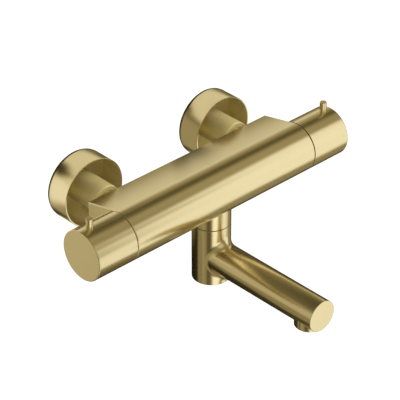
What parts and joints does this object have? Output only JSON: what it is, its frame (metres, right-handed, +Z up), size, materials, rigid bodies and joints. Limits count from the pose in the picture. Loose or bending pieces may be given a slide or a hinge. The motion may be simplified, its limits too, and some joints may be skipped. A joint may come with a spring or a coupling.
{
  "type": "thermostatic bath mixer",
  "caption": "Wall mounted round bar bath mixer with a flat shelf, a handle with a grip pin at each end, a swivel spout below and hollow round wall covers.",
  "frame": {"origin": "on the wall plane, midway between the two inlets, level with the bar's axis", "axes": "+X to the right along the bar, seen from the user's side, +Y into the wall, +Z up"},
  "size_m": [0.2882, 0.2335, 0.1187],
  "materials": {
    "brushed_brass": "fine brushed satin",
    "machined_brass": "turned, uncoated",
    "stainless_steel": "plain",
    "dark_plastic": "moulded",
    "ceramic": "lapped",
    "rubber": "matt"
  },
  "bodies": {
    "mixer": {"body": "brushed_brass", "rosette_left": "brushed_brass", "rosette_right": "brushed_brass", "wall_union_left": "brushed_brass", "wall_union_right": "brushed_brass", "union_nut_left": "brushed_brass", "union_nut_right": "brushed_brass", "hose_outlet": "brushed_brass", "inlet_neck_left": "machined_brass", "inlet_neck_right": "machined_brass", "temperature_nut": "machined_brass", "flow_nut": "machined_brass", "spout_nipple": "machined_brass", "return_spring": "stainless_steel", "temperature_stop_ring": "dark_plastic", "flow_stop_ring": "dark_plastic", "thermostat_housing": "dark_plastic", "flow_housing": "dark_plastic", "flow_base": "dark_plastic", "spring_seat": "dark_plastic", "check_valve_left": "dark_plastic", "check_valve_right": "dark_plastic", "glide_ring": "dark_plastic", "fixed_disc": "ceramic", "thermostat_seals": "rubber", "thermostat_base_seal": "rubber", "flow_base_seal": "rubber", "flow_seal": "rubber", "spout_seals": "rubber", "filter_washer_left": "rubber", "filter_washer_right": "rubber"},
    "temperature_control": {"temperature_handle": "brushed_brass", "temperature_pin": "brushed_brass", "temperature_insert": "machined_brass", "temperature_screw": "stainless_steel", "temperature_spindle": "machined_brass"},
    "flow_control": {"flow_handle": "brushed_brass", "flow_pin": "brushed_brass", "flow_insert": "machined_brass", "flow_screw": "stainless_steel", "flow_spindle": "machined_brass", "moving_disc": "ceramic"},
    "regulator": {"regulating_sleeve": "dark_plastic", "wax_element": "machined_brass", "adjusting_nut": "machined_brass"},
    "swivel_spout": {"spout": "brushed_brass", "lock_screw": "stainless_steel", "aerator_ring": "brushed_brass", "aerator_insert": "dark_plastic", "aerator_seal": "rubber"}
  },
  "joints": [
    {"name": "temperature_turn", "type": "hinge", "parent": "mixer", "child": "temperature_control", "pos_m": [0.1, -0.09, 0], "axis": [1, 0, 0], "range_deg": [-150, 90]},
    {"name": "flow_turn", "type": "hinge", "parent": "mixer", "child": "flow_control", "pos_m": [-0.1, -0.09, 0], "axis": [1, 0, 0], "range_deg": [-90, 90]},
    {"name": "regulator_slide", "type": "slide", "parent": "mixer", "child": "regulator", "axis": [1, 0, 0], "range_m": [-0.00126, 0.00076], "deforming": ["return_spring"]},
    {"name": "spout_turn", "type": "hinge", "parent": "mixer", "child": "swivel_spout", "pos_m": [0, -0.09, -0.04], "axis": [0, 0, 1], "range_deg": [-90, 90]}
  ],
  "couplings": [
    {"joint": "regulator_slide", "follows": "temperature_turn", "m_per_rad": 0.00047746}
  ]
}
